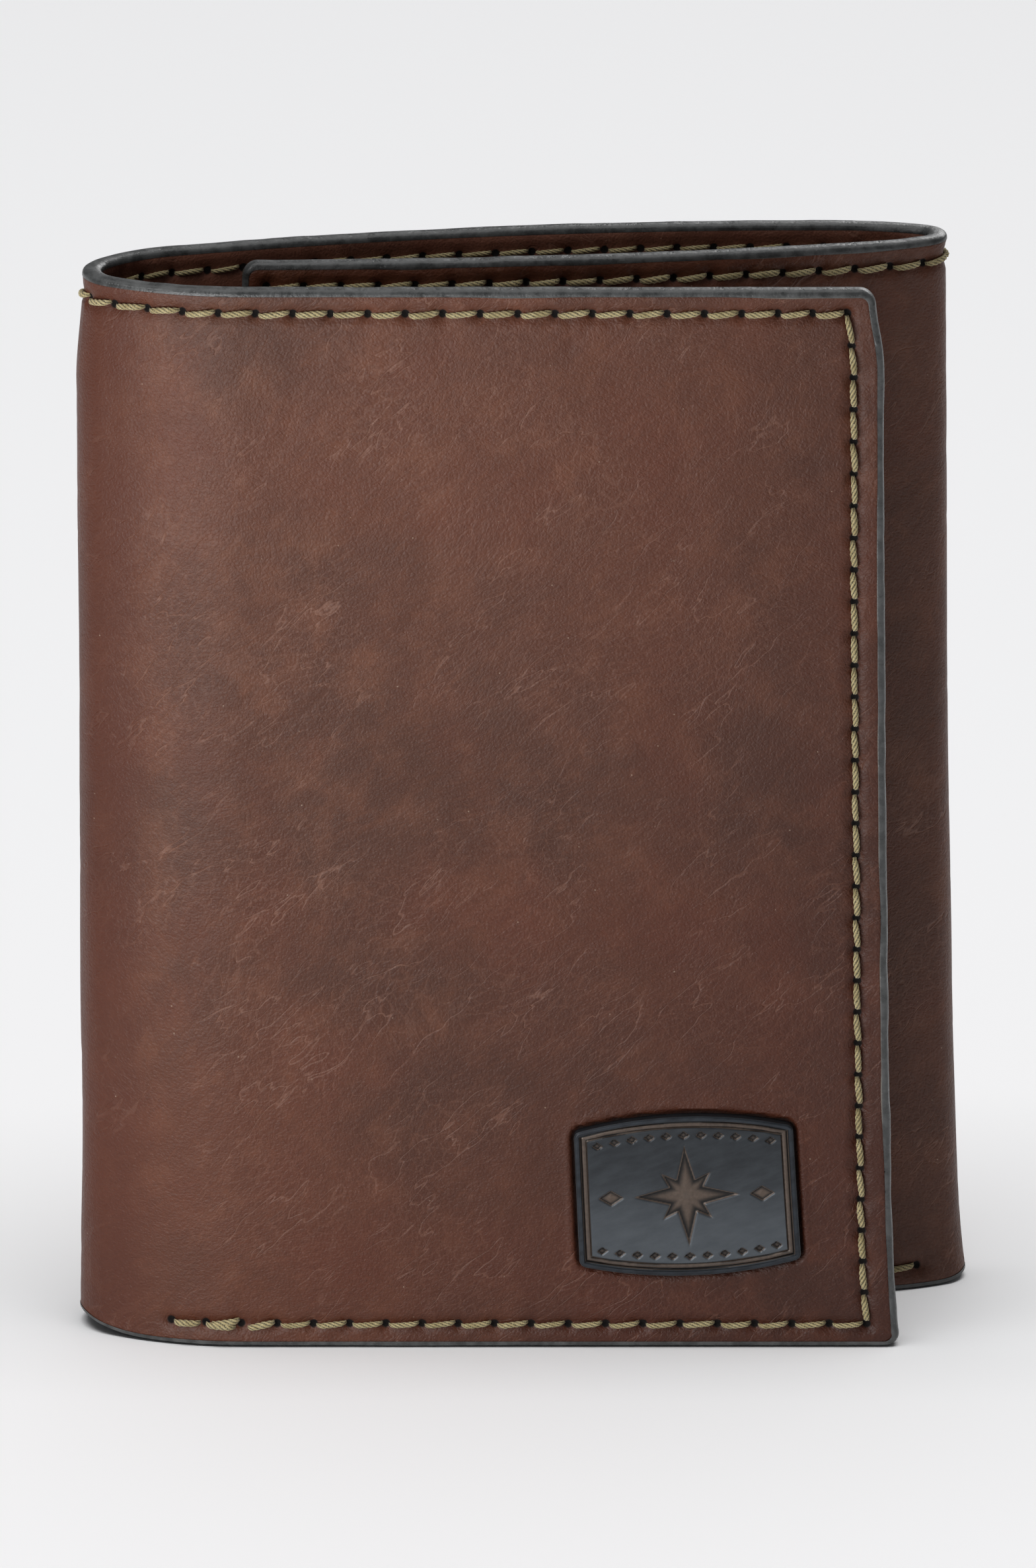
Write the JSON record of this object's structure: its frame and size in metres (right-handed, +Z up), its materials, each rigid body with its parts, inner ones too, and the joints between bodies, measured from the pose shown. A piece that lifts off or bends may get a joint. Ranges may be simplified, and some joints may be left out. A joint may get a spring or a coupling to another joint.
{
  "type": "trifold wallet",
  "caption": "Closed trifold leather wallet standing upright: two flaps fold over a centre with card pockets, a bill compartment and a clear window.",
  "frame": {"origin": "bounding box bottom centre of the closed wallet, on the surface that it stands on", "axes": "+Z up along the wallet's height, the front flap faces -Y, its free edge is towards +X"},
  "size_m": [0.0868, 0.0274, 0.1095],
  "materials": {
    "outer_leather": "satin pebbled leather with grey painted edges",
    "lining": "thin smooth leather lining",
    "inner_leather": "thin satin leather",
    "clear_film": "clear flexible film",
    "badge_metal": "gunmetal, dark in the recesses",
    "thread": "thick twisted khaki thread"
  },
  "bodies": {
    "back_panel": {"back_cover": "outer_leather", "back_lining": "lining", "centre_panel": "inner_leather", "centre_pocket_1": "inner_leather", "centre_pocket_2": "inner_leather", "centre_pocket_3": "inner_leather", "centre_pocket_stitching": "thread", "back_top_stitching": "thread", "back_bottom_stitching": "thread", "left_back_leather": "outer_leather", "left_back_lining": "lining", "left_back_gusset": "inner_leather", "left_back_stitching": "thread", "right_back_leather": "outer_leather", "right_back_lining": "lining", "right_back_gusset": "inner_leather", "right_back_stitching": "thread"},
    "left_spine": {"left_spine_leather": "outer_leather", "left_spine_lining": "lining", "left_spine_gusset": "inner_leather"},
    "front_flap": {"front_cover": "outer_leather", "front_lining": "lining", "front_panel": "inner_leather", "window_film": "clear_film", "window_frame": "inner_leather", "badge_plate": "badge_metal", "front_top_stitching": "thread", "front_bottom_stitching": "thread", "front_edge_stitching": "thread", "left_front_leather": "outer_leather", "left_front_lining": "lining", "left_front_gusset": "inner_leather", "left_front_stitching": "thread"},
    "right_spine": {"right_spine_leather": "outer_leather", "right_spine_lining": "lining", "right_spine_gusset": "inner_leather"},
    "inner_flap": {"inner_cover": "outer_leather", "inner_lining": "lining", "inner_panel": "inner_leather", "inner_pocket_1": "inner_leather", "inner_pocket_2": "inner_leather", "inner_pocket_stitching": "thread", "inner_top_stitching": "thread", "inner_bottom_stitching": "thread", "inner_edge_stitching": "thread", "right_front_leather": "outer_leather", "right_front_lining": "lining", "right_front_gusset": "inner_leather", "right_front_stitching": "thread"}
  },
  "joints": [
    {"name": "left_fold_back", "type": "hinge", "parent": "back_panel", "child": "left_spine", "pos_m": [-0.04213, 0.00052, 0], "axis": [0, 0, -1], "range_deg": [0, 81.5], "deforming": ["left_back_leather", "left_back_lining", "left_back_gusset", "left_back_stitching"]},
    {"name": "left_fold_front", "type": "hinge", "parent": "left_spine", "child": "front_flap", "pos_m": [-0.03916, -0.0117, 0], "axis": [0, 0, -1], "range_deg": [0, 81.5], "deforming": ["left_front_leather", "left_front_lining", "left_front_gusset", "left_front_stitching"]},
    {"name": "right_fold_back", "type": "hinge", "parent": "back_panel", "child": "right_spine", "pos_m": [0.04142, 0.0126, 0], "axis": [0, 0, 1], "range_deg": [0, 83.5], "deforming": ["right_back_leather", "right_back_lining", "right_back_gusset", "right_back_stitching"]},
    {"name": "right_fold_front", "type": "hinge", "parent": "right_spine", "child": "inner_flap", "pos_m": [0.04229, 0.00559, 0], "axis": [0, 0, 1], "range_deg": [0, 83.5], "deforming": ["right_front_leather", "right_front_lining", "right_front_gusset", "right_front_stitching"]}
  ],
  "couplings": [
    {"joint": "left_fold_front", "follows": "left_fold_back", "ratio": 1},
    {"joint": "right_fold_back", "follows": "left_fold_back", "ratio": 0.42},
    {"joint": "right_fold_front", "follows": "left_fold_back", "ratio": 0.42}
  ]
}
